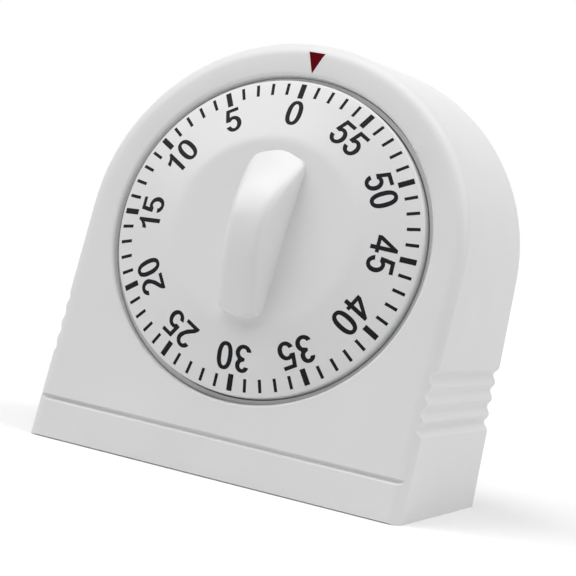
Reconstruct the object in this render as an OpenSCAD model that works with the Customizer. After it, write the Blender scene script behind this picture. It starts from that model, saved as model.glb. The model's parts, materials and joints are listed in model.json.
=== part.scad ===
// Wind-up kitchen timer: arched case, coned dial with a grip bar, and the
// clockwork behind it. The movement is square to the leaning face.
// Sizes are in millimetres. The origin is the middle of the flat underside.

/* [Case] */
// Width of the case
body_w = 93.6; // [90:0.2:104]
// Height of the dial's centre above the table
dial_height = 55.9; // [54:0.1:62]
// How far the face leans back, in degrees
lean = 10.6; // [8:0.2:12]
// Depth of the base, front to back
base_depth = 57.4; // [56:0.2:66]
// Thickness of the case walls
wall = 2.2; // [1.8:0.1:2.6]
// Radius of the rounded front edges
edge_r = 3; // [1.5:0.1:3.5]
// How much of that rounding reaches the foot of the front
foot_share = 0.15; // [0:0.05:0.5]
// Thickness of the rear cover
cover_t = 2; // [1.6:0.1:2.4]
// Play between the rear cover's lip and the case
lip_play = 0.15; // [0.05:0.05:0.3]
// Height of the rear cover's locating lip
lip_h = 2; // [1:0.1:3]

/* [Grooves] */
// Number of grooves on each side
side_grooves = 4; // [2:1:5]
// Height of the lowest side groove
side_groove_z = 20.9; // [18:0.1:24]
// Spacing of the side grooves
side_groove_pitch = 3.95; // [3.9:0.05:5]
// Depth of a side groove
side_groove_depth = 1.35; // [0.6:0.05:1.5]
// How far the ribs between the grooves stay below the wall
rib_drop = 0.5; // [0:0.05:0.6]
// Height of the front groove above the table, along the face
front_groove_z = 9.4; // [8:0.1:12]
// Width of the front groove
front_groove_w = 1.4; // [0.8:0.1:2]
// Depth of the front groove
front_groove_depth = 0.7; // [0.5:0.1:1.2]

/* [Dial] */
// Radius of the dial's rim
dial_r = 37.35; // [36:0.05:38]
// Open gap round the dial
dial_gap = 1.5; // [1:0.1:2]
// Thickness of the dial's wall
dial_t = 1.8; // [1.4:0.1:2.2]
// How far the rim stands in front of the face
rim_proud = 0.75; // [0.2:0.1:1.5]
// Fall of the number band, as depth over width
band_fall = 0.27; // [0.2:0.01:0.32]
// Radius of the flat middle of the dial
flat_r = 22.3; // [21:0.1:24]
// Depth of the well behind the face
well_depth = 7; // [6.5:0.1:8]
// Thickness of the well's floor
well_floor = 2; // [1.6:0.1:2.4]
// Radius of the hub that takes the shaft
hub_r = 5; // [4.5:0.1:6]

/* [Grip bar] */
// Half length of the grip bar where it meets the dial
bar_half = 20.1; // [18:0.1:21]
// Height of the grip bar above the flat
bar_h = 10.5; // [8:0.1:12]
// Height of its blunt ends
bar_end_h = 2.4; // [1:0.1:4]
// Width of the grip bar towards the zero end
bar_w_top = 14.2; // [12.6:0.1:15]
// Width of the grip bar towards the other end
bar_w_end = 10.8; // [10:0.1:12]
// How much each flank leans in, as width over height
bar_draft = 0.13; // [0.06:0.01:0.2]
// Squareness of the bar's ends, seen from the front
bar_end_square = 4.4; // [3:0.1:7]
// Squareness of the bar's section
bar_square = 4; // [2.6:0.1:6]

/* [Pointer] */
// Height of the pointer triangle
mark_h = 5.1; // [4:0.1:5.6]
// Width of the pointer triangle
mark_w = 3.95; // [3:0.05:5]
// Share of the free rim that lies inside the triangle's tip
mark_place = 0.25; // [0.2:0.01:0.35]
// Depth of the pointer's inlay
mark_t = 0.8; // [0.5:0.1:1.2]

/* [Movement] */
// Thickness of the movement's plates
plate_t = 0.9; // [0.8:0.05:1.1]
// Clear distance between the plates
plate_gap = 15; // [14.8:0.1:15.6]
// Height of the bosses that carry the front plate
boss_h = 3; // [2.6:0.1:3.6]
// Radial play of a pivot in its hole
pivot_play = 0.05; // [0.03:0.01:0.08]
// Radial play of a wheel seated on its shaft
seat_play = 0.02; // [0.01:0.01:0.04]
// Radius of the dial's shaft
shaft_r = 2.5; // [2.2:0.1:2.8]
// Radius of the other shafts
arbor_r = 0.8; // [0.7:0.05:0.9]
// Radius of the pivots
pivot_r = 0.5; // [0.4:0.05:0.6]
// Full turn of the dial, in degrees
travel = 352; // [340:4:352]
// Tooth size of the main wheel and the barrel
main_m = 0.6; // [0.56:0.01:0.62]
// Tooth size of the second wheel
second_m = 0.45; // [0.42:0.01:0.47]
// Tooth size of the third wheel
third_m = 0.4; // [0.37:0.01:0.42]
// Radius of the escape wheel
escape_r = 6.3; // [5.8:0.1:6.6]
// Radius of the balance wheel's rim
balance_r = 6; // [5:0.1:6.2]
// Radius of the spring barrel
barrel_r = 13.2; // [12:0.1:13.6]
// Number of turns of the mainspring
spring_turns = 7; // [5:1:8]
// Thickness of the mainspring's strip
spring_t = 0.35; // [0.25:0.05:0.45]

/* [Alarm] */
// Radius of the bell
bell_r = 23; // [21:0.2:24]
// Gap between the bell and the rear cover
bell_clear = 1; // [0.6:0.1:3]
// Thickness of the bell's wall
bell_t = 0.8; // [0.6:0.1:1]
// Radius of the hammer's head
head_r = 2.2; // [1.8:0.1:2.6]
// Gap between the resting hammer and the bell
strike_gap = 1.2; // [1:0.1:1.4]
// Radius of the star wheel
star_r = 6.5; // [6:0.1:6.8]
// Radius of the stop cam
cam_r = 6; // [5.4:0.1:6.6]

/* [Hidden] */
$fn = 64;
arch_fn = 96;          // facets of the case's arch
sliver = 0.1;          // thickness of the slices that a hull joins
cut = 1;               // how far a cut runs past the surface
half_w = body_w / 2;
face_h = dial_height / cos(lean);
hole_r = dial_r + dial_gap;
face_y = dial_height * tan(lean) - base_depth / 2;
shell_back = base_depth / 2 - cover_t;

// Depths behind the face
floor_back = well_depth + well_floor;
front_out = floor_back + boss_h;
front_in = front_out + plate_t;
rear_in = front_in + plate_gap;
rear_out = rear_in + plate_t;
end_play = 0.15;

// Dial
band_end = dial_r - 0.75;
flat_y = -rim_proud - (band_end - flat_r) * band_fall;
rim_r = 0.75;
blend_r = 10;
skirt_y = well_depth - 1.6;
hub_end = well_depth - 1.2;
tip_depth = flat_y + dial_t + 1.2;
tip_r = shaft_r - 0.5;
tip_flat = tip_r * 0.6;
bar_slices = 22;       // slices in each half of the grip bar
bar_points = 20;       // steps round a slice
bar_root = 0.7;        // how far the bar reaches down into the flat
bar_end_turn = 86;     // where the last slice stops, short of the quarter turn that would close it to a line

// Stop post and lug under the dial
stop_ring = 31;
stop_play = 0.1;
post_r = 1.2;
post_end = 1.4;
stop_turn = (360 - travel) / 2;
lug_half = stop_ring * sin(stop_turn) - post_r - stop_play;
stop_at = 300;

// Wheels of the going train
main_n = 60;
second_n = 56;
third_n = 48;
escape_n = 15;
pinion_n = 8;
second_at = 200;
third_at = 95;
escape_at = 50;
anchor_at = 25;
second_pos = out(second_at, (main_n + pinion_n) * main_m / 2);
third_pos = second_pos + out(third_at, (second_n + pinion_n) * second_m / 2);
escape_pos = third_pos + out(escape_at, (third_n + pinion_n) * third_m / 2);
pallet_pin_r = 0.35;
pallet_play = 0.08;
pallet_half = 36;      // half of three tooth pitches
pallet_ring = escape_r + pallet_pin_r + pallet_play;
anchor_pos = escape_pos + out(anchor_at, pallet_ring / cos(pallet_half));
second_turn = turn_to_mesh(second_at, 0, main_n, pinion_n);
third_turn = turn_to_mesh(third_at, second_turn, second_n, pinion_n);
escape_turn = turn_to_mesh(escape_at, third_turn, third_n, pinion_n);

// Ratchet between the dial's shaft and the main wheel
ratchet_n = 16;
ratchet_r = 5;
ratchet_root = 4.17;
click_at = 45;
click_pos = out(click_at + 48, 7.8);
leaf_centre = out(click_at + 74.8, 5.38);
leaf_r = 5.7;
leaf_t = 0.25;
leaf_at = click_at + 105;
foot_r = 0.7;

// Alarm side
barrel_n = 60;
star_pinion_n = 10;
star_n = 12;
star_at = -25;
hammer_at = 85;
star_pos = out(star_at, (barrel_n + star_pinion_n) * main_m / 2);
star_pin_r = 0.4;
star_play = 0.1;
star_half = 45;        // half of three tooth pitches
star_ring = star_r + star_pin_r + star_play;
hammer_pos = star_pos + out(hammer_at, star_ring / cos(star_half));
star_turn = turn_to_mesh(star_at, 0, barrel_n, star_pinion_n);
bell_pos = [0, -6];
head_at = -57;
head_pos = bell_pos + out(head_at, bell_r - bell_t - head_r - strike_gap);

// Wheels: solid band under the teeth, hub round the shaft and width of a spoke
rim_band = 1.6;
hub_w = 1.8;
spoke_w = 1.6;

// How much wider than its bar the eye of a lever is, each side
eye = 0.1;

// Levels between the plates, as depths behind the face
barrel_y = front_in + 0.4;
flange_t = 1;
barrel_depth = 7;
ratchet_y = barrel_y + barrel_depth + 0.2;
disc_t = 1;
main_y = ratchet_y + disc_t + 0.2;
wheel_t = 0.6;
second_y = main_y + disc_t + 0.7;
third_y = second_y + 1.5;
escape_y = third_y + 1.3;
balance_y = front_in + 2.7;
balance_t = 1.2;
star_y = second_y + 0.2;
star_t = 0.8;
cam_y = second_y + 1.6;
cam_t = 0.8;
nose_at = 20;
nose_r = 0.8;
nose_play = 0.1;
notch_w = 2 * nose_r + 1;
nose_pos = out(nose_at, cam_r + nose_play + nose_r);
elbow_pos = out(nose_at, cam_r + 2.8);
lever_pos = elbow_pos + out(nose_at + 90, 10);
tail_end = hammer_pos + [-1.3, 8];
toe_pos = tail_end + [-1.6, 0.1];
toe_w = 1.2;
lever_w = 2 * (nose_r - eye);
catch_gap = 0.75;
catch_pos = toe_pos - [toe_w / 2 + eye + nose_r + catch_gap, 0];

// Bell
bell_y = rear_out + 2.7;
bell_top = cover_depth(bell_pos[1] + bell_r) - bell_clear;
bell_h = bell_top - bell_y;
bell_round = bell_h * 0.6;
post_radius = 2.5;

// Pillars, plates and screws
pillars = [[-27, -22], [25, -22], [24, 23], [-28, 22]];
pillar_r = 2.2;
plate_rim = 4;
stud_r = 1.2;
nut_r = 2.6;
nut_h = 1.6;
boss_r = 3.2;
boss_ring = 24;
boss_angles = [80, 215, 318];
screw_r = 1.2;
head_h = 1.3;
screw_head_r = 2.4;

// Rear cover's screws
recess_r = 3.1;
recess_depth = 3;
pad_r = recess_r + 1.2;
case_screw_ring = half_w - wall - pad_r - 0.5;
case_screws_at = [for (side = [-1, 1], top = [0, 1]) top == 1
    ? [side * case_screw_ring * cos(50), dial_height + case_screw_ring * sin(50) * cos(lean), 90 - side * 40]
    : [side * case_screw_ring, wall + pad_r + 1, 90 - side * 90]];
case_boss_r = 3.4;
case_boss_back = 3.2;
case_boss_len = 14;
case_screw_len = 12;
slot_w = 2.2;
slot_pitch = 5;
slot_count = 7;
slot_len = 24;
slot_mid = dial_height - 12;

// Depth behind the face at which the rear cover begins
function cover_depth(z) = (shell_back - face_y - z * sin(lean)) / cos(lean);

// A point at an angle and a distance, seen from the front
function out(angle, r) = r * [cos(angle), sin(angle)];

// Turn of a pinion that leaves a gap for the wheel's tooth on their line of centres
function turn_to_mesh(line, tooth, n_wheel, n_pinion) =
    line + 180 - 180 / n_pinion - (tooth - line) * n_wheel / n_pinion;

// Points of a toothed rim: flanks run straight out to the pitch line and round over above it
function rim(n, m, flank, add, ded, tip) = [
    for (k = [0 : n - 1], p = [[-ded, -1], [0, -1], [add * 0.6, -0.78], [add, -tip],
            [add, tip], [add * 0.6, 0.78], [0, 1], [-ded, 1]])
        out(360 / n * k + p[1] * flank * 90 / n, n * m / 2 + p[0] * m)];

// Points along an arc
function arc(centre, r, from, to, steps) = [
    for (i = [0 : steps]) centre + out(from + (to - from) * i / steps, r)];

// Puts its children in the frame of the face: x right, y into the case, z up the face
module on_face() {
    translate([0, face_y, dial_height]) rotate([-lean, 0, 0]) children();
}

// A flat shape in the plane of the face, between two depths
module slab(from, to) {
    translate([0, to, 0]) rotate([90, 0, 0]) linear_extrude(to - from) children();
}

// A round bar or a hole square to the face
module rod(pos, r, from, to) {
    slab(from, to) translate(pos) circle(r);
}

// A turned shape about the dial's axis: its profile holds radius and depth
module turned() {
    rotate([-90, 0, 0]) rotate_extrude(convexity = 4) children();
}

// A straight bar from one point to another, with a slightly wider eye at the far end
module link(from, to, w) {
    translate(from) rotate(atan2(to[1] - from[1], to[0] - from[0]))
        translate([0, -w / 2]) square([norm(to - from), w]);
    translate(to) circle(w / 2 + eye);
}

// A shaft with a pivot at each end
module shaft(pos, r) {
    rod(pos, r, front_in + end_play, rear_in - end_play);
    rod(pos, pivot_r, front_out - 0.3, rear_out + 0.3);
}

// A toothed wheel, and a small pinion with fewer and thinner leaves
module wheel(n, m) polygon(rim(n, m, 0.86, 0.95, 1.25, 0.25));
module pinion(n, m) polygon(rim(n, m, 0.66, 0.7, 1.35, 0.3));

// Openings between the spokes of a wheel
module crossings(inner, outer, spokes, w) {
    difference() {
        circle(outer);
        circle(inner);
        for (k = [0 : spokes - 1]) rotate(360 / spokes * k) translate([0, -w / 2]) square([outer + cut, w]);
    }
}

module wheel_crossings(n, m, hub, w) {
    crossings(hub, (n / 2 - 1.25) * m - rim_band, 4, w);
}

// Outline of the case in the plane of the face, raised at the foot
module face_outline(inset, foot) {
    circle(half_w - inset, $fn = arch_fn);
    translate([inset - half_w, foot / cos(lean) - face_h])
        square([body_w - 2 * inset, face_h - foot / cos(lean)]);
}

// Outline of the case seen square from behind: the leaning arch is a little lower there
module back_outline(inset) {
    translate([0, dial_height]) scale([1, cos(lean)]) circle(half_w - inset, $fn = arch_fn);
    translate([inset - half_w, inset]) square([body_w - 2 * inset, dial_height - inset]);
}

// A thin slice of the case, so far back from the face, and a thin upright one
module face_slice(back, inset, foot) {
    translate([0, back, 0]) on_face() slab(0, sliver) face_outline(inset, foot);
}
module back_slice(y, inset) {
    back_prism(y - sliver, y, inset);
}
module back_prism(from, to, inset) {
    translate([0, to, 0]) rotate([90, 0, 0]) linear_extrude(to - from) back_outline(inset);
}

// The case as a solid with rounded front edges, cut off level with the table
module case_solid(back) {
    intersection() {
        hull() {
            for (a = [0 : 18 : 90])
                face_slice(edge_r * (1 - cos(a)), edge_r * (1 - sin(a)),
                    edge_r * (1 - sin(a)) * foot_share - sliver);
            back_slice(back, 0);
        }
        translate([-body_w, -base_depth, 0]) cube([2 * body_w, 2 * base_depth, 3 * dial_height]);
    }
}

// Depth of the side grooves at a height, counted in grooves from the lowest: rounded waves
function groove_at(u) = u < 0 || u > side_grooves - 1
    ? side_groove_depth * (1 + cos(360 * (u < 0 ? u : u - side_grooves + 1))) / 2
    : side_groove_depth - (side_groove_depth - rib_drop) * (1 - cos(360 * u)) / 2;

// The grooves along both sides
module side_groove_cuts() {
    wave = [for (i = [-6 : 12 * (side_grooves - 1) + 6])
        [half_w - groove_at(i / 12), side_groove_z + i / 12 * side_groove_pitch]];
    ends = [[half_w + cut, wave[len(wave) - 1][1]], [half_w + cut, wave[0][1]]];
    for (side = [0, 1]) mirror([side, 0, 0]) translate([0, base_depth, 0]) rotate([90, 0, 0])
        linear_extrude(2 * base_depth) polygon(concat(wave, ends));
}

// The groove across the front: a level top face, and a lower face that slopes up and out
module front_groove_cut() {
    on_face() translate([-body_w, 0, front_groove_z - face_h]) rotate([90, 0, 90])
        linear_extrude(2 * body_w) polygon([[-cut, front_groove_w / 2],
            [front_groove_depth, front_groove_w / 2], [front_groove_depth, 0],
            [0, -front_groove_w / 2], [-cut, -front_groove_w / 2]]);
}

// The pointer's triangle, tip down
module mark_shape(play) {
    tip = hole_r + (half_w - hole_r - mark_h) * mark_place;
    polygon([[0, tip - 2 * play], [mark_w / 2 + play, tip + mark_h + play],
        [-mark_w / 2 - play, tip + mark_h + play]]);
}

// A plug that rounds over the well's edge
module well_edge_cut() {
    edge = 0.8;
    turned() difference() {
        translate([hole_r - edge, -edge]) square([2 * edge, 2 * edge]);
        translate([hole_r + edge, edge]) circle(edge);
    }
}

// A post for one of the rear cover's screws, with a web out to the wall
module case_boss(p) {
    translate([p[0], shell_back - case_boss_back, p[1]]) rotate([90, 0, 0]) {
        cylinder(r = case_boss_r, h = case_boss_len);
        rotate(p[2]) translate([0, -0.8, 0]) cube([10, 1.6, case_boss_len]);
    }
}

// Front moulding: arched shell, well for the dial, posts for the screws
module front_housing() {
    color("whitesmoke") {
        difference() {
            union() {
                difference() {
                    case_solid(shell_back);
                    hull() {
                        face_slice(wall / cos(lean), wall, wall);
                        back_slice(shell_back + cut, wall);
                    }
                }
                intersection() {
                    union() {
                        on_face() rod([0, 0], hole_r + wall, wall / 2, floor_back);
                        for (p = case_screws_at) case_boss(p);
                    }
                    hull() {
                        face_slice(wall / 2, wall / 2, wall / 2);
                        back_slice(shell_back, wall / 2);
                    }
                }
                on_face() for (a = boss_angles)
                    rod(out(a, boss_ring), boss_r, floor_back - wall / 2, front_out);
            }
            on_face() {
                rod([0, 0], hole_r, -cut, well_depth);
                rod([0, 0], shaft_r + 0.5, 0, floor_back + cut);
                for (a = boss_angles) rod(out(a, boss_ring), screw_r + seat_play, 0, front_out + cut);
                slab(-cut, mark_t) mark_shape(seat_play);
                well_edge_cut();
            }
            for (p = case_screws_at) translate([p[0], shell_back + cut, p[1]])
                rotate([90, 0, 0]) cylinder(r = screw_r + seat_play, h = case_screw_len + case_boss_back);
            side_groove_cuts();
            front_groove_cut();
        }
        on_face() rod(out(stop_at + stop_turn, stop_ring), post_r, post_end, well_depth + 0.5);
    }
}

// Red triangle set flush in the face
module pointer_mark() {
    color("firebrick") on_face() slab(0, mark_t) mark_shape(0);
}

// Flat moulded back with a lip, screw wells and sound slots
module rear_cover() {
    color("whitesmoke") difference() {
        union() {
            hull() {
                back_slice(shell_back + sliver, 0);
                back_slice(base_depth / 2 - 0.6, 0);
                back_slice(base_depth / 2, 0.6);
            }
            difference() {
                back_prism(shell_back - lip_h, shell_back + sliver, wall + lip_play);
                back_prism(shell_back - lip_h - cut, shell_back + cut, 2 * wall);
            }
            for (p = case_screws_at) translate([p[0], shell_back + cover_t / 2, p[1]])
                rotate([90, 0, 0]) cylinder(r = pad_r, h = case_boss_back + cover_t / 2 - end_play);
        }
        for (p = case_screws_at) translate([p[0], base_depth / 2 + cut, p[1]]) rotate([90, 0, 0]) {
            cylinder(r = recess_r, h = recess_depth + cut);
            cylinder(r = screw_r + 0.2, h = base_depth / 4);
        }
        for (k = [0 : slot_count - 1])
            translate([(k - (slot_count - 1) / 2) * slot_pitch, base_depth, slot_mid - slot_len / 2])
                rotate([90, 0, 0]) linear_extrude(base_depth) {
                    translate([-slot_w / 2, 0]) square([slot_w, slot_len]);
                    circle(slot_w / 2);
                    translate([0, slot_len]) circle(slot_w / 2);
                }
        side_groove_cuts();
    }
}

// Four screws that hold the rear cover
module case_screws() {
    color("silver") for (p = case_screws_at)
        translate([p[0], base_depth / 2 - recess_depth, p[1]]) rotate([90, 0, 0]) {
            cylinder(r = screw_r, h = case_screw_len);
            difference() {
                translate([0, 0, -head_h]) cylinder(r = screw_head_r, h = head_h);
                for (a = [0, 90]) rotate(a) translate([-1.5, -0.25, -head_h - cut]) cube([3, 0.5, cut + 0.7]);
            }
        }
}

// Three screws from the well's floor into the front plate
module movement_screws() {
    color("silver") on_face() for (a = boss_angles) {
        rod(out(a, boss_ring), screw_r, well_depth - head_h, front_in + 0.5);
        difference() {
            rod(out(a, boss_ring), screw_head_r, well_depth - head_h, well_depth);
            slab(0, well_depth - head_h + 0.6) translate(out(a, boss_ring)) square([3.4, 0.5], center = true);
        }
    }
}

// Outline shared by both plates
module plate_shape() {
    polygon([for (k = [0 : 3])
        let (p = pillars[k], a = pillars[(k + 3) % 4], b = pillars[(k + 1) % 4],
            from = atan2(p[1] - a[1], p[0] - a[0]) - 90, turn = atan2(b[1] - p[1], b[0] - p[0]) - 90 - from)
        each arc(p, plate_rim, from, from + (turn < 0 ? turn + 360 : turn), 10)]);
}

// Pivot holes shared by both plates
module pivot_holes(r) {
    for (p = [second_pos, third_pos, escape_pos, anchor_pos, star_pos]) translate(p) circle(r);
}

module front_plate() {
    color("lightsteelblue") on_face() slab(front_out, front_in) difference() {
        plate_shape();
        circle(shaft_r + pivot_play);
        pivot_holes(pivot_r + pivot_play);
        translate(hammer_pos) circle(pivot_r + pivot_play);
        for (p = pillars) translate(p) circle(stud_r + seat_play);
        for (a = boss_angles) translate(out(a, boss_ring)) circle(screw_r + seat_play);
    }
}

module rear_plate() {
    color("lightsteelblue") on_face() slab(rear_in, rear_out) difference() {
        plate_shape();
        circle(shaft_r - 1 + pivot_play);
        pivot_holes(pivot_r + pivot_play);
        translate(hammer_pos) circle(arbor_r + pivot_play);
        translate(lever_pos) circle(pivot_r + seat_play);
        translate(bell_pos) circle(screw_r + seat_play);
        for (p = pillars) translate(p) circle(stud_r + seat_play);
    }
}

// Turned pillars with a riveted front end and a threaded rear end
module plate_pillars() {
    color("goldenrod") on_face() for (p = pillars) {
        rod(p, pillar_r, front_in, rear_in);
        rod(p, stud_r, front_out - 0.4, rear_out + nut_h + 0.4);
    }
}

module pillar_nuts() {
    color("silver") on_face() for (p = pillars) slab(rear_out, rear_out + nut_h) difference() {
        translate(p) circle(nut_r, $fn = 6);
        translate(p) circle(stud_r + seat_play);
    }
}

// Stud that the trip lever turns on
module trip_stud() {
    color("silver") on_face() {
        rod(lever_pos, arbor_r, cam_y - 0.4, rear_in);
        rod(lever_pos, arbor_r + 0.7, cam_y + cam_t + 0.2, rear_in);
        rod(lever_pos, arbor_r + 0.5, cam_y - 0.8, cam_y - 0.2);
        rod(lever_pos, pivot_r, rear_in - 1, rear_out + 0.2);
    }
}

module bell_post() {
    color("silver") on_face() difference() {
        union() {
            rod(bell_pos, post_radius, rear_out, bell_top - bell_t);
            rod(bell_pos, screw_r, rear_in - 0.3, rear_out + 1);
        }
        rod(bell_pos, screw_r + seat_play, bell_top - bell_h * 0.7, bell_top);
    }
}

// Pressed bell, open to the front
module bell() {
    color("silver") on_face() translate([bell_pos[0], 0, bell_pos[1]]) turned()
        polygon(concat([[screw_r + 0.1, bell_top], [screw_r + 0.1, bell_top - bell_t]],
            arc([bell_r - bell_t - bell_round, bell_top - bell_t - bell_round], bell_round, 90, 0, 8),
            [[bell_r - bell_t, bell_y], [bell_r, bell_y]],
            arc([bell_r - bell_round - bell_t, bell_top - bell_round - bell_t], bell_round + bell_t, 0, 90, 8)));
}

module bell_screw() {
    color("silver") on_face() {
        rod(bell_pos, screw_r, bell_top - bell_h * 0.5, bell_top + 0.5);
        difference() {
            rod(bell_pos, 3, bell_top, bell_top + 1.4);
            slab(bell_top + 0.9, bell_top + 2) translate(bell_pos) square([7, 0.6], center = true);
        }
    }
}

// Profile of the dial's moulding: flat middle, falling band, rounded rim and a skirt
module dial_profile() {
    fall = atan(band_fall);
    ease = blend_r * tan(fall / 2);
    polygon(concat([[0, flat_y]],
        arc([flat_r - ease, flat_y + blend_r], blend_r, -90, -90 + fall, 4),
        arc([dial_r - rim_r, -rim_proud + rim_r], rim_r, -90 + fall, 0, 5),
        [[dial_r, skirt_y], [dial_r - dial_t, skirt_y], [dial_r - dial_t, dial_t - rim_proud + 0.4],
            [flat_r, flat_y + dial_t], [0, flat_y + dial_t]]));
}

// How far along the grip bar a slice lies, from -1 to 1: the slices close up towards the ends
function bar_place(k) = sign(k) * pow(sin(bar_end_turn * abs(k) / bar_slices), 0.8);

// Half width and height of the grip bar at a place along it
function bar_half_w(place) = (bar_w_end + (bar_w_top - bar_w_end) * (place + 1) / 2) / 2
    * pow(1 - pow(abs(place), bar_end_square), 1 / bar_end_square);
function bar_rise(place) = bar_end_h + (bar_h - bar_end_h) * pow(1 - place * place, 1.25);

// One slice of the grip bar: up the left flank, over the crest and down the right, closed below the flat
function bar_slice(place) =
    let (w = bar_half_w(place), h = bar_rise(place)) concat(
        [[-w, flat_y + bar_root, bar_half * place]],
        [for (j = [1 : bar_points - 1])
            let (a = 180 * j / bar_points - 90, up = h * pow(cos(a), 2 / bar_square))
            [sign(a) * pow(abs(sin(a)), 2 / bar_square) * max(w - bar_draft * up, w * 0.6),
                flat_y - up, bar_half * place]],
        [[w, flat_y + bar_root, bar_half * place]]);

// The grip bar: a tall soft-edged crescent, wider at the zero end, drawn as a skin over its slices
module grip_bar() {
    slices = [for (k = [-bar_slices : bar_slices]) bar_slice(bar_place(k))];
    n = len(slices[0]);
    last = len(slices) - 1;
    polyhedron(
        points = [for (slice = slices) each slice],
        faces = concat(
            [[for (j = [0 : n - 1]) j]],
            [[for (j = [n - 1 : -1 : 0]) last * n + j]],
            [for (k = [0 : last - 1], j = [0 : n - 1]) each
                let (a = k * n + j, b = k * n + (j + 1) % n) [[a, a + n, b], [b, a + n, b + n]]]));
}

// Dial, grip bar, hub and stop lug in one moulding
module dial_knob() {
    color("whitesmoke") on_face() difference() {
        union() {
            turned() dial_profile();
            grip_bar();
            rod([0, 0], hub_r, flat_y + dial_t / 2, hub_end);
            intersection() {
                slab(flat_y, well_depth - 1) rotate(stop_at)
                    translate([stop_ring - 2, -lug_half]) square([4, 2 * lug_half]);
                turned() polygon([[0, flat_y + dial_t / 2], [flat_r, flat_y + dial_t / 2],
                    [dial_r - dial_t / 2, -rim_proud + dial_t / 2], [dial_r - dial_t / 2, well_depth],
                    [0, well_depth]]);
            }
        }
        slab(tip_depth, hub_end + cut) intersection() {
            circle(tip_r + seat_play);
            translate([-tip_r - cut, -tip_r - cut])
                square([2 * (tip_r + cut), tip_r + cut + tip_flat + seat_play]);
        }
    }
}

// Shaft that carries the dial: flat-sided tip, running fits in both plates
module dial_arbor() {
    color("silver") on_face() {
        slab(tip_depth + 0.3, hub_end + 0.2) intersection() {
            circle(tip_r);
            translate([-tip_r - cut, -tip_r - cut]) square([2 * (tip_r + cut), tip_r + cut + tip_flat]);
        }
        rod([0, 0], shaft_r, hub_end + 0.1, rear_in - end_play);
        rod([0, 0], shaft_r - 1, rear_in - 1, rear_out + 0.8);
    }
}

// Spiral strip, drawn from the shaft out to the barrel's wall
module mainspring() {
    inner = shaft_r + spring_t / 2 + 0.02;
    outer = barrel_r - 0.8 - spring_t / 2 - 0.12;
    steps = 20 * spring_turns;
    edge = [for (side = [-0.5, 0.5]) [for (k = [0 : steps])
        out(360 * spring_turns * k / steps, inner + (outer - inner) * k / steps + side * spring_t)]];
    color("steelblue") on_face() slab(barrel_y + flange_t + 0.3, barrel_y + barrel_depth - 0.3)
        polygon(concat(edge[0], [for (k = [steps : -1 : 0]) edge[1][k]]));
}

// Cup with a toothed flange: it holds the spring and drives the alarm
module spring_barrel() {
    color("goldenrod") on_face() {
        slab(barrel_y, barrel_y + flange_t) difference() {
            wheel(barrel_n, main_m);
            circle(shaft_r + pivot_play);
        }
        slab(barrel_y + flange_t - 0.1, barrel_y + barrel_depth) difference() {
            circle(barrel_r);
            circle(barrel_r - 0.8);
        }
    }
}

// Saw-toothed ratchet on the dial's shaft
module ratchet_wheel() {
    color("gray") on_face() slab(ratchet_y, ratchet_y + disc_t) difference() {
        polygon([for (k = [0 : ratchet_n - 1], r = [ratchet_r, ratchet_root])
            out(click_at + 360 / ratchet_n * k, r)]);
        circle(shaft_r + seat_play);
    }
}

// Click that drops in front of a ratchet tooth, riveted to the main wheel
module click() {
    color("silver") on_face() {
        slab(ratchet_y, ratchet_y + disc_t) {
            translate(click_pos) circle(1.4);
            polygon([out(click_at + 3, ratchet_root + 0.25), out(click_at + 3, ratchet_r + 0.75),
                click_pos + out(click_at - 8, 1.35), click_pos + out(click_at + 172, 1.35),
                out(click_at + 24, ratchet_r + 0.35)]);
        }
        rod(click_pos, arbor_r, ratchet_y, main_y + disc_t);
    }
}

// Thin leaf that holds the click down
module click_spring() {
    color("steelblue") on_face() {
        slab(ratchet_y + 0.1, ratchet_y + disc_t - 0.1) polygon(concat(
            arc(leaf_centre, leaf_r + leaf_t / 2, click_at - 32, leaf_at, 16),
            arc(leaf_centre, leaf_r - leaf_t / 2, leaf_at, click_at - 32, 16)));
        rod(leaf_centre + out(leaf_at, leaf_r), foot_r, ratchet_y, main_y + disc_t);
    }
}

module main_wheel() {
    color("goldenrod") on_face() slab(main_y, main_y + disc_t) difference() {
        wheel(main_n, main_m);
        circle(shaft_r + seat_play);
        translate(click_pos) circle(arbor_r + seat_play);
        translate(leaf_centre + out(leaf_at, leaf_r)) circle(foot_r + seat_play);
        rotate(click_at) wheel_crossings(main_n, main_m, norm(leaf_centre + out(leaf_at, leaf_r)) + 1.2, spoke_w * 2);
    }
}

// Disc whose notch lets the trip lever drop at zero
module stop_cam() {
    color("silver") on_face() slab(cam_y, cam_y + cam_t) difference() {
        circle(cam_r);
        circle(shaft_r + seat_play);
        link(out(nose_at, cam_r + 2), out(nose_at, cam_r - 0.2), notch_w);
    }
}

module second_arbor() {
    color("silver") on_face() {
        shaft(second_pos, arbor_r);
        slab(main_y - 0.5, second_y - 0.2) translate(second_pos) rotate(second_turn) pinion(pinion_n, main_m);
    }
}

module second_wheel() {
    color("goldenrod") on_face() slab(second_y, second_y + wheel_t) translate(second_pos)
        rotate(second_turn) difference() {
            wheel(second_n, second_m);
            circle(arbor_r + seat_play);
            wheel_crossings(second_n, second_m, arbor_r + hub_w, spoke_w);
        }
}

module third_arbor() {
    color("silver") on_face() {
        shaft(third_pos, arbor_r);
        slab(second_y - 0.4, third_y - 0.2) translate(third_pos) rotate(third_turn) pinion(pinion_n, second_m);
    }
}

module third_wheel() {
    color("goldenrod") on_face() slab(third_y, third_y + wheel_t) translate(third_pos)
        rotate(third_turn) difference() {
            wheel(third_n, third_m);
            circle(arbor_r + seat_play);
            wheel_crossings(third_n, third_m, arbor_r + hub_w, spoke_w);
        }
}

module escape_arbor() {
    color("silver") on_face() {
        shaft(escape_pos, arbor_r);
        slab(third_y - 0.3, escape_y - 0.2) translate(escape_pos) rotate(escape_turn) pinion(pinion_n, third_m);
    }
}

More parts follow.
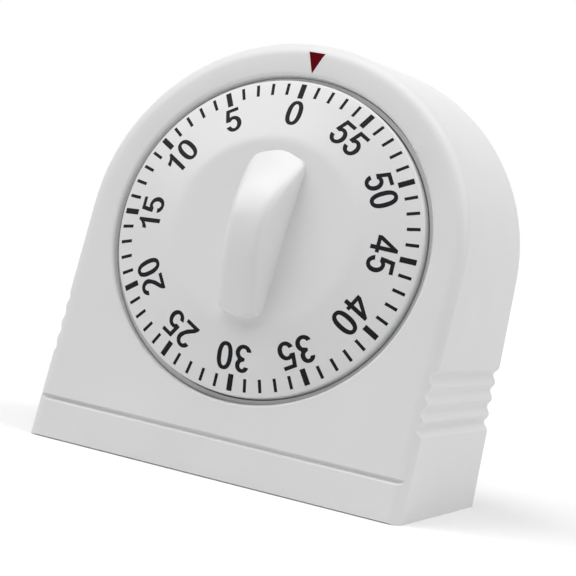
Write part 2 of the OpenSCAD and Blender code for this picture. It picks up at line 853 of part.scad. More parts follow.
// Escape wheel: pointed teeth that lean forward
module escape_wheel() {
    color("goldenrod") on_face() slab(escape_y, escape_y + wheel_t) translate(escape_pos)
        rotate(anchor_at + pallet_half + 180 / escape_n) difference() {
            polygon([for (k = [0 : escape_n - 1], p = [[0.76, -4], [1, -1.6], [1, 1], [0.76, 8]])
                out(360 / escape_n * k + p[1], p[0] * escape_r)]);
            circle(arbor_r + seat_play);
            crossings(arbor_r + 1, 0.76 * escape_r - 0.9, 4, 1);
        }
}

module balance_arbor() {
    color("silver") on_face() shaft(anchor_pos, arbor_r);
}

// Anchor with two round pins that meet the escape wheel's teeth
module pallet_anchor() {
    color("silver") on_face() {
        slab(escape_y - 0.9, escape_y - 0.3) difference() {
            union() {
                translate(anchor_pos) circle(arbor_r + 0.9);
                for (side = [-1, 1])
                    link(anchor_pos, escape_pos + out(anchor_at + side * pallet_half, pallet_ring), 1.1);
            }
            translate(anchor_pos) circle(arbor_r + seat_play);
        }
        for (side = [-1, 1])
            rod(escape_pos + out(anchor_at + side * pallet_half, pallet_ring), pallet_pin_r,
                escape_y - 0.9, escape_y + wheel_t + 0.3);
    }
}

module balance_wheel() {
    color("goldenrod") on_face() slab(balance_y, balance_y + balance_t) translate(anchor_pos) difference() {
        circle(balance_r);
        circle(arbor_r + seat_play);
        crossings(arbor_r + 1, balance_r - 1, 2, 1.2);
    }
}

module star_arbor() {
    color("silver") on_face() {
        shaft(star_pos, arbor_r);
        slab(front_in + 0.3, barrel_y + flange_t + 0.5) translate(star_pos)
            rotate(star_turn) pinion(star_pinion_n, main_m);
    }
}

// Star wheel that rocks the hammer
module star_wheel() {
    color("goldenrod") on_face() slab(star_y, star_y + star_t) translate(star_pos)
        rotate(hammer_at + star_half + 180 / star_n) difference() {
            polygon([for (k = [0 : star_n - 1], p = [[0.72, -8], [1, -1.5], [1, 1.5], [0.72, 8]])
                out(360 / star_n * k + p[1], p[0] * star_r)]);
            circle(arbor_r + seat_play);
        }
}

// Hammer's shaft: it runs through the rear plate to the hammer's arm
module hammer_arbor() {
    color("silver") on_face() {
        rod(hammer_pos, arbor_r, front_in + end_play, bell_y - 0.8);
        rod(hammer_pos, pivot_r, front_out - 0.3, front_in + 1);
    }
}

// Fork with two pins over the star wheel and a tail for the trip lever
module hammer_fork() {
    color("silver") on_face() {
        slab(cam_y, cam_y + cam_t) difference() {
            union() {
                translate(hammer_pos) circle(arbor_r + 1);
                for (side = [-1, 1])
                    link(hammer_pos, star_pos + out(hammer_at + side * star_half, star_ring), 1.4);
                link(hammer_pos, tail_end, toe_w);
                link(tail_end, toe_pos, toe_w);
            }
            translate(hammer_pos) circle(arbor_r + seat_play);
        }
        for (side = [-1, 1]) rod(star_pos + out(hammer_at + side * star_half, star_ring), star_pin_r,
            star_y - 0.3, cam_y + cam_t);
    }
}

// Arm and head of the hammer, inside the bell
module bell_hammer() {
    arm_y = rear_out + 0.8;
    color("silver") on_face() {
        slab(arm_y, arm_y + 0.8) difference() {
            union() {
                translate(hammer_pos) circle(arbor_r + 1.1);
                link(hammer_pos, head_pos, 1.6);
            }
            translate(hammer_pos) circle(arbor_r + seat_play);
        }
        rod(head_pos, head_r, arm_y, bell_y + bell_h * 0.3);
    }
}

// Lever that rides the cam and lets the hammer go
module trip_lever() {
    color("silver") on_face() slab(cam_y, cam_y + cam_t) difference() {
        union() {
            translate(lever_pos) circle(arbor_r + 1.2);
            link(lever_pos, elbow_pos, lever_w);
            link(elbow_pos, nose_pos, lever_w);
            link(lever_pos, catch_pos, lever_w);
        }
        translate(lever_pos) circle(arbor_r + pivot_play);
    }
}

front_housing();
pointer_mark();
rear_cover();
case_screws();
movement_screws();
front_plate();
rear_plate();
plate_pillars();
pillar_nuts();
trip_stud();
bell_post();
bell();
bell_screw();
dial_knob();
dial_arbor();
mainspring();
ratchet_wheel();
click();
click_spring();
main_wheel();
stop_cam();
spring_barrel();
second_arbor();
second_wheel();
third_arbor();
third_wheel();
escape_arbor();
escape_wheel();
balance_arbor();
pallet_anchor();
balance_wheel();
star_arbor();
star_wheel();
hammer_arbor();
hammer_fork();
bell_hammer();
trip_lever();
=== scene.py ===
import bpy
import json
import math
from mathutils import Matrix, Vector


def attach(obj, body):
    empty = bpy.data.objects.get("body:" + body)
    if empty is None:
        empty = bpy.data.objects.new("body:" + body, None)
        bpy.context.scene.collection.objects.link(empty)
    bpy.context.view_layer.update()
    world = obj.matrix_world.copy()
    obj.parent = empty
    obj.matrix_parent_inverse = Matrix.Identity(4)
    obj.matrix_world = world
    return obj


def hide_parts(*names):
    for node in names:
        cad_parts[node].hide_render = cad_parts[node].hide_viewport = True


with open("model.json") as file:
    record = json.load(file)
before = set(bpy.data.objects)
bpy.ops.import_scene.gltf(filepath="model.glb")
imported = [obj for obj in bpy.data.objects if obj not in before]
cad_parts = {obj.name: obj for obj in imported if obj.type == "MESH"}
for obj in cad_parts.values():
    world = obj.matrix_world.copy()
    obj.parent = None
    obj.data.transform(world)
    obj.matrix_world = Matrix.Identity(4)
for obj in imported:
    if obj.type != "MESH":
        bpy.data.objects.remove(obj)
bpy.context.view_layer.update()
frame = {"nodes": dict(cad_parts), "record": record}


# Case: a moulded front shell with the dial's well, and a flat moulded back that closes it.
# Both are white satin ABS with a very fine spark-eroded grain. Four screws from behind hold them together.
PATTERN_LOW = 0.3
PATTERN_HIGH = 0.7
MOULD_CLOUDS = 60
MOULD_GRAIN = 2600
GRAIN_STRENGTH = 0.12
GRAIN_DEPTH = 0.00002
JOIN_DISTANCE = 0.000001
CASE_CREASE = 24

body_of_node = {
    node: body
    for body, members in frame["record"]["behaviour"]["bodies"].items()
    for node in members
}


def new_material(name):
    """An empty material with its shader and a texture coordinate."""
    material = bpy.data.materials.new(name)
    material.use_nodes = True
    nodes = material.node_tree.nodes
    shader = nodes["Principled BSDF"]
    place = nodes.new("ShaderNodeTexCoord")
    return material, nodes, material.node_tree.links, shader, place


def add_noise(nodes, links, vector, scale, detail):
    """A noise pattern laid out by the given vector."""
    noise = nodes.new("ShaderNodeTexNoise")
    noise.inputs["Scale"].default_value = scale
    noise.inputs["Detail"].default_value = detail
    links.new(vector, noise.inputs["Vector"])
    return noise.outputs["Fac"]


def spread(nodes, links, factor, target, low, high):
    """Feeds a socket with a pattern, stretched between two values."""
    limits = nodes.new("ShaderNodeMapRange")
    limits.inputs["From Min"].default_value = PATTERN_LOW
    limits.inputs["From Max"].default_value = PATTERN_HIGH
    limits.inputs["To Min"].default_value = low
    limits.inputs["To Max"].default_value = high
    links.new(factor, limits.inputs["Value"])
    links.new(limits.outputs["Result"], target)


def tint(nodes, links, factor, target, dark, light):
    """Feeds a colour socket with a pattern that runs between two colours."""
    ramp = nodes.new("ShaderNodeValToRGB")
    ramp.color_ramp.elements[0].position = PATTERN_LOW
    ramp.color_ramp.elements[1].position = PATTERN_HIGH
    ramp.color_ramp.elements[0].color = (*dark, 1)
    ramp.color_ramp.elements[1].color = (*light, 1)
    links.new(factor, ramp.inputs["Fac"])
    links.new(ramp.outputs["Color"], target)


def raise_grain(nodes, links, factor, shader, strength, depth):
    """Turns a pattern into a fine relief."""
    bump = nodes.new("ShaderNodeBump")
    bump.inputs["Strength"].default_value = strength
    bump.inputs["Distance"].default_value = depth
    links.new(factor, bump.inputs["Height"])
    links.new(bump.outputs["Normal"], shader.inputs["Normal"])


def moulded_plastic(name, dark, light, low_gloss, high_gloss):
    """Satin moulded plastic: an almost even colour under a fine grain."""
    material, nodes, links, shader, place = new_material(name)
    clouds = add_noise(nodes, links, place.outputs["Object"], MOULD_CLOUDS, 2)
    grain = add_noise(nodes, links, place.outputs["Object"], MOULD_GRAIN, 2)
    tint(nodes, links, clouds, shader.inputs["Base Color"], dark, light)
    spread(nodes, links, clouds, shader.inputs["Roughness"], low_gloss, high_gloss)
    raise_grain(nodes, links, grain, shader, GRAIN_STRENGTH, GRAIN_DEPTH)
    return material


def pick(piece):
    """Selects one piece alone and makes it the active one."""
    bpy.ops.object.select_all(action="DESELECT")
    piece.select_set(True)
    bpy.context.view_layer.objects.active = piece


def finish_part(node, name, material, crease):
    """Takes a part's own surface, joins its facets and shades its curves smooth up to the crease angle."""
    piece = bpy.data.objects.new(name, frame["nodes"][node].data.copy())
    bpy.context.scene.collection.objects.link(piece)
    pick(piece)
    bpy.ops.mesh.customdata_custom_splitnormals_clear()
    bpy.ops.object.mode_set(mode="EDIT")
    bpy.ops.mesh.select_all(action="SELECT")
    bpy.ops.mesh.remove_doubles(threshold=JOIN_DISTANCE)
    bpy.ops.object.mode_set(mode="OBJECT")
    bpy.ops.object.shade_smooth_by_angle(angle=math.radians(crease))
    piece.data.materials.clear()
    piece.data.materials.append(material)
    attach(piece, body_of_node[node])
    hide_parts(node)
    return piece


white_case = moulded_plastic(
    "white_case_plastic", (0.775, 0.775, 0.782), (0.80, 0.80, 0.806), 0.34, 0.40)
finish_part("front_housing", "case_front", white_case, CASE_CREASE)
finish_part("rear_cover", "case_back", white_case, CASE_CREASE)


# Dial: a round moulding with a coned band for the minutes and a flat middle, pushed on to its shaft.
# It is white plastic too, a little glossier than the case.
DIAL_CREASE = 34

white_dial = moulded_plastic(
    "white_dial_plastic", (0.785, 0.785, 0.79), (0.805, 0.805, 0.81), 0.28, 0.34)
dial = finish_part("dial_knob", "dial_moulding", white_dial, DIAL_CREASE)


# Grip bar: part of the dial's moulding, a tall crescent with a firm edge between crest and flanks.
# Its skin is a sheet bent over the bar, section by section, and closed below the dial's flat.
# It takes the place of the plainer bar on the solid, which is cut off at the flat.
FACE_LEAN = math.radians(10.6)
DIAL_CENTRE = Vector((0, -0.01824, 0.0559))
FLAT_HEIGHT = 0.004611

BAR_TOP_END = 0.0194
BAR_LOW_END = 0.0202
BAR_HEIGHT = 0.01046
BAR_TOP_END_HEIGHT = 0.0006
BAR_LOW_END_HEIGHT = 0.0030
BAR_END_BULGE = 0.0013
BAR_HALF_WIDTH = 0.00625
BAR_WIDENING = 0.00085
BAR_DRAFT = 0.13
LEAST_WIDTH_SHARE = 0.6
BAR_ROOT = 0.0006

CREST_CURVE = 1.25
CREST_SQUARENESS = 6
TOP_END_SQUARENESS = 8
LOW_END_SQUARENESS = 24
TIP_SQUARENESS = 40

BAR_SECTIONS = 96
BAR_STEPS = 56
SECTION_SPACING = 0.8
REACH_ALONG = math.radians(88.5)
REACH_OVER = math.radians(88)

CUTTER_WIDTH = 0.018
CUTTER_LENGTH = 0.043
CUTTER_HEIGHT = 0.02
CUT_ABOVE = 0.00001

face_frame = Matrix.Translation(DIAL_CENTRE) @ Matrix.Rotation(math.pi / 2 - FACE_LEAN, 4, "X")


def signed_power(value, power):
    """A power of a number's size, with the number's own sign."""
    return math.copysign(abs(value) ** power, value)


def rounded_end(distance, squareness):
    """How much of the full size is left at a share of the way out, from 1 in the middle to 0 at the end."""
    return (1 - abs(distance) ** squareness) ** (1 / squareness)


def bar_point(turn_along, turn_over):
    """A point of the bar's skin, from two angles: one along the bar and one over its section."""
    along = signed_power(math.sin(turn_along), SECTION_SPACING)
    end, end_height, squareness = BAR_LOW_END, BAR_LOW_END_HEIGHT, LOW_END_SQUARENESS
    if along > 0:
        end, end_height, squareness = BAR_TOP_END, BAR_TOP_END_HEIGHT, TOP_END_SQUARENESS
    half_width = (BAR_HALF_WIDTH + BAR_WIDENING * along) * rounded_end(along, squareness)
    height = end_height + (BAR_HEIGHT - end_height) * (1 - along * along) ** CREST_CURVE
    height *= rounded_end(along, TIP_SQUARENESS)
    rise = height * abs(math.cos(turn_over)) ** (2 / CREST_SQUARENESS)
    across = signed_power(math.sin(turn_over), 2 / CREST_SQUARENESS)
    width_here = max(half_width - BAR_DRAFT * rise, half_width * LEAST_WIDTH_SHARE)
    length_here = end - BAR_END_BULGE * across * across
    return across * width_here, along * length_here, FLAT_HEIGHT + rise


bpy.ops.object.select_all(action="DESELECT")
bpy.ops.mesh.primitive_grid_add(x_subdivisions=BAR_STEPS, y_subdivisions=BAR_SECTIONS, size=2)
grip = bpy.context.active_object
for vertex in grip.data.vertices:
    vertex.co = bar_point(vertex.co.y * REACH_ALONG, vertex.co.x * REACH_OVER)
bpy.ops.object.mode_set(mode="EDIT")
bpy.ops.mesh.select_all(action="DESELECT")
bpy.ops.mesh.select_non_manifold()
bpy.ops.mesh.extrude_edges_move()
bpy.ops.object.mode_set(mode="OBJECT")
for vertex in grip.data.vertices:
    if vertex.select:
        vertex.co.z = FLAT_HEIGHT - BAR_ROOT
bpy.ops.object.mode_set(mode="EDIT")
bpy.ops.mesh.edge_face_add()
bpy.ops.mesh.select_all(action="SELECT")
bpy.ops.mesh.normals_make_consistent(inside=False)
bpy.ops.object.mode_set(mode="OBJECT")
grip.matrix_world = face_frame
bpy.ops.object.transform_apply(location=True, rotation=True, scale=True)

bpy.ops.object.select_all(action="DESELECT")
bpy.ops.mesh.primitive_cube_add(size=1)
bar_cutter = bpy.context.active_object
bar_cutter.matrix_world = (
    face_frame
    @ Matrix.Translation((0, 0, FLAT_HEIGHT + CUT_ABOVE + CUTTER_HEIGHT / 2))
    @ Matrix.Diagonal((CUTTER_WIDTH, CUTTER_LENGTH, CUTTER_HEIGHT, 1)))

pick(dial)
for operation, tool in (("DIFFERENCE", bar_cutter), ("UNION", grip)):
    step = dial.modifiers.new(operation.lower(), "BOOLEAN")
    step.operation = operation
    step.solver = "EXACT"
    step.object = tool
    bpy.ops.object.modifier_apply(modifier=step.name)
    bpy.data.objects.remove(tool, do_unlink=True)
bpy.ops.object.shade_smooth_by_angle(angle=math.radians(DIAL_CREASE))


# Well shoulder: a shallow step that runs round the dial just below the face.
# It is white plastic, moulded with the case, and it shades the open gap beside the dial's rim.
SHOULDER_OUTER = 0.0387
SHOULDER_WIDTH = 0.0011
SHOULDER_DEPTH = 0.0024
SHOULDER_FOOT = 0.0068
SHOULDER_EDGE = 0.0001
SHOULDER_FACETS = 180
SHOULDER_CREASE = 40
EDGES_OVER = 50

bpy.ops.object.select_all(action="DESELECT")
bpy.ops.mesh.primitive_cylinder_add(
    vertices=SHOULDER_FACETS,
    radius=SHOULDER_OUTER,
    depth=SHOULDER_FOOT - SHOULDER_DEPTH,
    end_fill_type="NOTHING")
shoulder = bpy.context.active_object
shoulder.name = "well_shoulder"
shoulder.matrix_world = face_frame @ Matrix.Translation((0, 0, -(SHOULDER_FOOT + SHOULDER_DEPTH) / 2))
wall = shoulder.modifiers.new("wall", "SOLIDIFY")
wall.thickness = SHOULDER_WIDTH
wall.offset = -1
edge = shoulder.modifiers.new("edge", "BEVEL")
edge.width = SHOULDER_EDGE
edge.segments = 3
edge.limit_method = "ANGLE"
edge.angle_limit = math.radians(EDGES_OVER)
bpy.ops.object.modifier_apply(modifier=wall.name)
bpy.ops.object.modifier_apply(modifier=edge.name)
bpy.ops.object.transform_apply(location=True, rotation=True, scale=True)
bpy.ops.object.shade_smooth_by_angle(angle=math.radians(SHOULDER_CREASE))
shoulder.data.materials.append(white_case)
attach(shoulder, "case")


# Printed minutes: sixty marks round the dial's edge and a number at every fifth, tops outward.
# They are a thin film of black ink, pad-printed on the coned band one degree off the grip bar.
MINUTES = 60
NUMBERED_EVERY = 5
MINUTE_TURN = math.radians(6)
PRINT_TURN = math.radians(1.0)

INK_LIFT = 0.00002
INK_THICKNESS = 0.00003
INK_EDGE = 0.0004
INK_CLOUDS = 900
INK_SHEEN = 0.12
PRINT_PLANE = 0.012

TICK_OUTER = 0.0364
TICK_INNER = 0.03345
TICK_WIDTH = 0.00074
FIFTH_OUTER = 0.0365
FIFTH_INNER = 0.0328
FIFTH_WIDTH = 0.00130

NUMBER_FOOT = 0.02595
NUMBER_HEIGHT = 0.0061
DIGIT_WIDTH = 0.625
DIGIT_STEP = 0.725
STROKE = 0.178
THIN_STROKE = 0.142
ZERO_SQUARENESS = 0.86
ZERO_STEPS = 48
BOWL_STEPS = 18
FLAG_STEPS = 6

print_ink, ink_nodes, ink_links, ink_shader, ink_place = new_material("black_print")
ink_cloud = add_noise(ink_nodes, ink_links, ink_place.outputs["Object"], INK_CLOUDS, 2)
tint(
    ink_nodes, ink_links, ink_cloud, ink_shader.inputs["Base Color"],
    (0.0075, 0.0078, 0.010), (0.011, 0.0115, 0.014))
spread(ink_nodes, ink_links, ink_cloud, ink_shader.inputs["Roughness"], 0.50, 0.60)
ink_shader.inputs["Specular IOR Level"].default_value = INK_SHEEN


def bow(centre, radii, start, end, steps=BOWL_STEPS, squareness=1.0):
    """Points on part of an oval, in degrees; a squareness under 1 flattens its sides."""
    points = []
    for step in range(steps + 1):
        angle = math.radians(start + (end - start) * step / steps)
        across = signed_power(math.cos(angle), squareness)
        up = signed_power(math.sin(angle), squareness)
        points.append((centre[0] + radii[0] * across, centre[1] + radii[1] * up))
    return points


def inside(radii):
    """The radii of an oval's inner edge, one pen stroke in."""
    return radii[0] - STROKE, radii[1] - THIN_STROKE


def zero():
    """An upright oval and its counter."""
    centre = (DIGIT_WIDTH / 2, 0.5)
    radii = (DIGIT_WIDTH / 2, 0.512)
    outer = bow(centre, radii, 0, 360, ZERO_STEPS, ZERO_SQUARENESS)
    inner = bow(centre, inside(radii), 0, 360, ZERO_STEPS, ZERO_SQUARENESS)
    return [outer[:-1], inner[:-1]]


def one():
    """A stem with a curved flag."""
    stem = [(0.335, 0), (0.500, 0), (0.500, 1), (0.395, 1)]
    flag_top = bow((0.02, 1.07), (0.39, 0.31), -22, -78, FLAG_STEPS)
    flag_tip = [(0.09, 0.585)]
    flag_foot = bow((0.05, 0.97), (0.36, 0.38), -72, -38, FLAG_STEPS)
    return [stem + flag_top + flag_tip + flag_foot]


def two():
    """An open bowl that runs down into a straight foot."""
    centre = (0.31, 0.715)
    radii = (0.31, 0.295)
    neck = [(0.43, 0.345), (0.205, THIN_STROKE)]
    foot = [(DIGIT_WIDTH, THIN_STROKE), (DIGIT_WIDTH, 0), (-0.015, 0), (-0.005, 0.09), (0.075, 0.225)]
    back = [(0.255, 0.40), (0.375, 0.525)]
    return [bow(centre, radii, 172, -30) + neck + foot + back + bow(centre, inside(radii), -30, 168)]


def three():
    """Two open bowls, the lower one larger."""
    upper = (0.295, 0.74)
    upper_radii = (0.275, 0.27)
    lower = (0.30, 0.285)
    lower_radii = (0.315, 0.297)
    outer = bow(upper, upper_radii, 168, -42) + bow(lower, lower_radii, 50, -168)
    lower_inner = bow(lower, inside(lower_radii), -164, 82)
    waist = [(0.215, 0.475), (0.23, 0.582)]
    upper_inner = bow(upper, inside(upper_radii), -84, 162)
    return [outer + lower_inner + waist + upper_inner]


def four():
    """A stem, a bar and a slope, with a three-cornered counter."""
    outer = [
        (0.345, 0), (0.505, 0), (0.505, 0.20), (0.615, 0.20), (0.615, 0.338), (0.505, 0.338),
        (0.505, 1), (0.375, 1), (-0.045, 0.345), (-0.045, 0.20), (0.345, 0.20)]
    counter = [(0.345, 0.338), (0.345, 0.705), (0.125, 0.338)]
    return [outer, counter]


def five():
    """A flag and a short stem over an open bowl."""
    centre = (0.305, 0.33)
    radii = (0.32, 0.342)
    flag = [(0.095, 1), (0.59, 1), (0.59, 0.858), (0.228, 0.858), (0.188, 0.645)]
    outer = bow(centre, radii, 111, -168)
    inner = bow(centre, inside(radii), -164, 140)
    stem_foot = [(0.005, 0.475)]
    return [flag + outer + inner + stem_foot]


def with_short_edges(outline):
    """The same closed outline, with each edge split until none is longer than the ink's longest edge."""
    points = []
    for start, end in zip(outline, outline[1:] + outline[:1]):
        pieces = max(1, math.ceil(math.dist(start, end) / INK_EDGE))
        for piece in range(pieces):
            share = piece / pieces
            across = start[0] + (end[0] - start[0]) * share
            up = start[1] + (end[1] - start[1]) * share
            points.append((across, up))
    return points


def ink_shape(name, outlines):
    """A filled flat shape from closed outlines in metres, ready to follow the band."""
    curve = bpy.data.curves.new(name, "CURVE")
    curve.dimensions = "2D"
    curve.fill_mode = "BOTH"
    for outline in outlines:
        points = with_short_edges(outline)
        spline = curve.splines.new("POLY")
        spline.points.add(len(points) - 1)
        spline.use_cyclic_u = True
        for point, (across, up) in zip(spline.points, points):
            point.co = (across, up, 0, 1)
    shape = bpy.data.objects.new(name, curve)
    bpy.context.scene.collection.objects.link(shape)
    pick(shape)
    bpy.ops.object.convert(target="MESH")
    return bpy.context.view_layer.objects.active


def turned_outline(outline, turn):
    """The same outline turned about the dial's centre."""
    cosine = math.cos(turn)
    sine = math.sin(turn)
    return [(x * cosine - y * sine, x * sine + y * cosine) for x, y in outline]


def lay_on_dial(flat):
    """Stands a flat print in front of the dial, presses it on to the moulding and thickens it to a film."""
    flat.matrix_world = face_frame @ Matrix.Translation((0, 0, PRINT_PLANE))
    press = flat.modifiers.new("press", "SHRINKWRAP")
    press.target = dial
    press.wrap_method = "PROJECT"
    press.use_project_z = True
    press.use_positive_direction = False
    press.use_negative_direction = True
    press.offset = INK_LIFT
    film = flat.modifiers.new("film", "SOLIDIFY")
    film.thickness = INK_THICKNESS
    film.offset = -1
    pick(flat)
    bpy.ops.object.modifier_apply(modifier=press.name)
    bpy.ops.object.modifier_apply(modifier=film.name)
    bpy.ops.object.transform_apply(location=True, rotation=True, scale=True)
    flat.data.materials.clear()
    flat.data.materials.append(print_ink)
    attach(flat, "dial")


mark_outlines = []
for minute in range(MINUTES):
    outer, inner, width = TICK_OUTER, TICK_INNER, TICK_WIDTH
    if minute % NUMBERED_EVERY == 0:
        outer, inner, width = FIFTH_OUTER, FIFTH_INNER, FIFTH_WIDTH
    mark = [(-width / 2, inner), (width / 2, inner), (width / 2, outer), (-width / 2, outer)]
    mark_outlines.append(turned_outline(mark, PRINT_TURN + MINUTE_TURN * minute))
lay_on_dial(ink_shape("minute_marks", mark_outlines))

digit_shapes = {"0": zero(), "1": one(), "2": two(), "3": three(), "4": four(), "5": five()}
number_outlines = []
for minute in range(0, MINUTES, NUMBERED_EVERY):
    digits = str(minute)
    first_left = -((len(digits) - 1) * DIGIT_STEP + DIGIT_WIDTH) / 2
    for place, digit in enumerate(digits):
        left = first_left + place * DIGIT_STEP
        for outline in digit_shapes[digit]:
            sized = [((left + x) * NUMBER_HEIGHT, NUMBER_FOOT + y * NUMBER_HEIGHT) for x, y in outline]
            number_outlines.append(turned_outline(sized, PRINT_TURN + MINUTE_TURN * minute))
lay_on_dial(ink_shape("minute_numbers", number_outlines))


# Pointer: a small triangle above the dial that marks where the wound time is read.
# It is dark red plastic, moulded by itself and pressed flush into the case.
POINTER_SHEEN = 0.04

pointer_red = moulded_plastic(
    "red_pointer_plastic", (0.118, 0.0010, 0.0045), (0.132, 0.0014, 0.006), 0.30, 0.38)
pointer_shader = pointer_red.node_tree.nodes["Principled BSDF"]
pointer_shader.inputs["Specular IOR Level"].default_value = POINTER_SHEEN
finish_part("pointer_mark", "pointer_inlay", pointer_red, CASE_CREASE)


# Movement plates: two flat sheets that carry every shaft, blanked from steel and brushed lengthways.
# The front one is screwed to bosses behind the dial's well, and the rear one to four pillars.
METAL_CREASE = 30
METAL_CLOUDS = 180
SCRATCHES = 900
SCRATCH_DEPTH = 0.00001


def brushed_metal(name, dark, light, low_gloss, high_gloss, stretch, scratch):
    """Metal with fine scratches that run one way, drawn out by the stretch along each axis."""
    material, nodes, links, shader, place = new_material(name)
    along = nodes.new("ShaderNodeMapping")
    along.inputs["Scale"].default_value = stretch
    links.new(place.outputs["Object"], along.inputs["Vector"])
    lines = add_noise(nodes, links, along.outputs["Vector"], SCRATCHES, 4)
    clouds = add_noise(nodes, links, place.outputs["Object"], METAL_CLOUDS, 3)
    tint(nodes, links, clouds, shader.inputs["Base Color"], dark, light)
    spread(nodes, links, lines, shader.inputs["Roughness"], low_gloss, high_gloss)
    raise_grain(nodes, links, lines, shader, scratch, SCRATCH_DEPTH)
    shader.inputs["Metallic"].default_value = 1
    return material


plate_steel = brushed_metal(
    "brushed_plate_steel", (0.55, 0.55, 0.55), (0.64, 0.64, 0.63), 0.28, 0.42, (0.08, 1, 1), 0.25)
for node in ("front_plate", "rear_plate"):
    finish_part(node, node + "_sheet", plate_steel, METAL_CREASE)


# Screws, nuts, stud and post: headed or turned steel with a bright zinc plating.
# They fasten the cover, the movement and the bell, and the stud carries the trip lever.
zinc_plate = brushed_metal(
    "zinc_plated_steel", (0.56, 0.58, 0.60), (0.68, 0.68, 0.66), 0.22, 0.34, (1, 1, 1), 0.10)
for node in ("case_screws", "movement_screws", "pillar_nuts", "trip_stud", "bell_post", "bell_screw"):
    finish_part(node, node + "_plated", zinc_plate, METAL_CREASE)


# Shafts, pillars and levers: bright steel, turned on a lathe or blanked and polished.
# The shafts run in holes in both plates and carry the ratchet, cam, anchor, fork and hammer, pressed on.
# The click and the trip lever turn on pins of their own.
turned_steel = brushed_metal(
    "turned_steel", (0.50, 0.50, 0.51), (0.60, 0.60, 0.60), 0.16, 0.28, (1, 6, 1), 0.15)
for node in ("dial_arbor", "second_arbor", "third_arbor", "escape_arbor", "balance_arbor", "star_arbor",
             "hammer_arbor", "plate_pillars", "ratchet_wheel", "click", "stop_cam", "pallet_anchor",
             "hammer_fork", "bell_hammer", "trip_lever"):
    finish_part(node, node + "_steel", turned_steel, METAL_CREASE)


# Wheels and spring barrel: stamped brass, left as it comes from the press.
# Each wheel is pressed on to its shaft, and the barrel turns freely on the dial's shaft.
wheel_brass = brushed_metal(
    "stamped_brass", (0.60, 0.40, 0.13), (0.74, 0.53, 0.20), 0.20, 0.34, (1, 0.1, 1), 0.20)
for node in ("main_wheel", "second_wheel", "third_wheel", "escape_wheel", "balance_wheel", "star_wheel",
             "spring_barrel"):
    finish_part(node, node + "_brass", wheel_brass, METAL_CREASE)


# Springs: rolled steel strip, hardened and tempered blue.
# The mainspring lies coiled in its barrel, and the click spring bears on the click.
blued_spring = brushed_metal(
    "blued_spring_steel", (0.055, 0.07, 0.13), (0.12, 0.13, 0.19), 0.20, 0.32, (1, 0.1, 1), 0.15)
for node in ("mainspring", "click_spring"):
    finish_part(node, node + "_strip", blued_spring, METAL_CREASE)


# Bell: a thin cup drawn from steel and nickel-plated, so it is nearly a mirror.
# One screw clamps it to its post behind the movement.
BELL_CREASE = 50

bell_nickel = brushed_metal(
    "nickel_plate", (0.64, 0.615, 0.565), (0.68, 0.655, 0.605), 0.08, 0.12, (1, 1, 1), 0.04)
finish_part("bell", "bell_cup", bell_nickel, BELL_CREASE)


# Camera: the photograph's own viewpoint, fitted to the dial's marks and the case's outline.
# It is rolled a little, as the photograph is.
CAMERA_LENS = 122.2
CAMERA_SENSOR = 36
CAMERA_PLACE = Vector((0.17304, -0.4317, 0.06615))
CAMERA_AHEAD = Vector((-0.37198, 0.92707, -0.04669))
CAMERA_RIGHT = Vector((0.9083, 0.3739, 0.1876))
NEAREST_SEEN = 0.01
FARTHEST_SEEN = 20

camera_data = bpy.data.cameras.new("camera")
camera_data.lens = CAMERA_LENS
camera_data.sensor_width = CAMERA_SENSOR
camera_data.clip_start = NEAREST_SEEN
camera_data.clip_end = FARTHEST_SEEN
camera = bpy.data.objects.new("camera", camera_data)
bpy.context.scene.collection.objects.link(camera)
ahead = CAMERA_AHEAD.normalized()
right = (CAMERA_RIGHT - ahead * CAMERA_RIGHT.dot(ahead)).normalized()
up = right.cross(ahead)
turned = Matrix((right, up, -ahead)).transposed().to_4x4()
camera.matrix_world = Matrix.Translation(CAMERA_PLACE) @ turned
bpy.context.scene.camera = camera


# Floor: a wide sheet of pale matt paper.
# The camera and mirror-like surfaces see it nearly white, and it sends much of its light back up.
FLOOR_SIZE = 12
PAPER_TONE = 0.80
PAPER_TONE_SEEN = 0.97


def seen_directly(nodes, links):
    """A factor of 1 for what the camera, a mirror or clear glass shows, and 0 for soft light."""
    ray = nodes.new("ShaderNodeLightPath")
    seen = ray.outputs["Is Camera Ray"]
    for kind in ("Is Glossy Ray", "Is Transmission Ray"):
        either = nodes.new("ShaderNodeMath")
        either.operation = "MAXIMUM"
        links.new(seen, either.inputs[0])
        links.new(ray.outputs[kind], either.inputs[1])
        seen = either.outputs["Value"]
    return seen


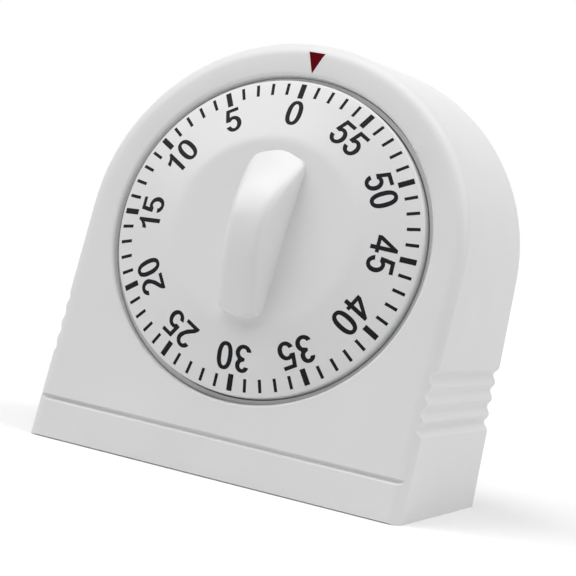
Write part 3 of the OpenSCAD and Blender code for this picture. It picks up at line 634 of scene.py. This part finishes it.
bpy.ops.object.select_all(action="DESELECT")
bpy.ops.mesh.primitive_plane_add(size=FLOOR_SIZE, location=(0, 0, 0))
floor = bpy.context.active_object
floor.name = "floor"
floor_paper = bpy.data.materials.new("pale_floor_paper")
floor_paper.use_nodes = True
paper_nodes = floor_paper.node_tree.nodes
paper_links = floor_paper.node_tree.links
paper_colour = paper_nodes.new("ShaderNodeMix")
paper_colour.data_type = "RGBA"
paper_colour.inputs["A"].default_value = (PAPER_TONE, PAPER_TONE, PAPER_TONE, 1)
paper_colour.inputs["B"].default_value = (PAPER_TONE_SEEN, PAPER_TONE_SEEN, PAPER_TONE_SEEN, 1)
paper_links.new(seen_directly(paper_nodes, paper_links), paper_colour.inputs["Factor"])
paper_shader = paper_nodes["Principled BSDF"]
paper_shader.inputs["Roughness"].default_value = 0.9
paper_shader.inputs["Specular IOR Level"].default_value = 0.1
paper_links.new(paper_colour.outputs["Result"], paper_shader.inputs["Base Color"])
floor.data.materials.append(floor_paper)


# Lamps: a large soft one overhead, one to the left of the camera and one to the right.
# Each is wide enough to leave no hard edge in a shadow.
LAMP_SPREAD = math.radians(50)


def add_lamp(name, energy, towards):
    """A broad soft lamp, given by the direction in which it stands."""
    lamp_data = bpy.data.lights.new(name, "SUN")
    lamp_data.energy = energy
    lamp_data.angle = LAMP_SPREAD
    lamp = bpy.data.objects.new(name, lamp_data)
    bpy.context.scene.collection.objects.link(lamp)
    lamp.rotation_euler = Vector(towards).to_track_quat("Z", "Y").to_euler()


add_lamp("overhead_lamp", 1.38, (0.032, -0.081, 0.996))
add_lamp("left_lamp", 1.30, (-0.545, -0.339, 0.766))
add_lamp("right_lamp", 0.93, (0.691, 0.145, 0.707))


# Surroundings: a plain white room that gives a little even light from all round.
# It is full white only where the camera or a shiny surface shows it.
ROOM_LIGHT = 0.13
ROOM_WHITE = 1.0

world = bpy.data.worlds.new("surroundings")
bpy.context.scene.world = world
world.use_nodes = True
room_nodes = world.node_tree.nodes
room_links = world.node_tree.links
room_strength = room_nodes.new("ShaderNodeMapRange")
room_strength.inputs["To Min"].default_value = ROOM_LIGHT
room_strength.inputs["To Max"].default_value = ROOM_WHITE
room_links.new(seen_directly(room_nodes, room_links), room_strength.inputs["Value"])
room_links.new(room_strength.outputs["Result"], room_nodes["Background"].inputs["Strength"])
room_nodes["Background"].inputs["Color"].default_value = (1, 1, 1, 1)
bpy.context.scene.view_settings.view_transform = "Standard"
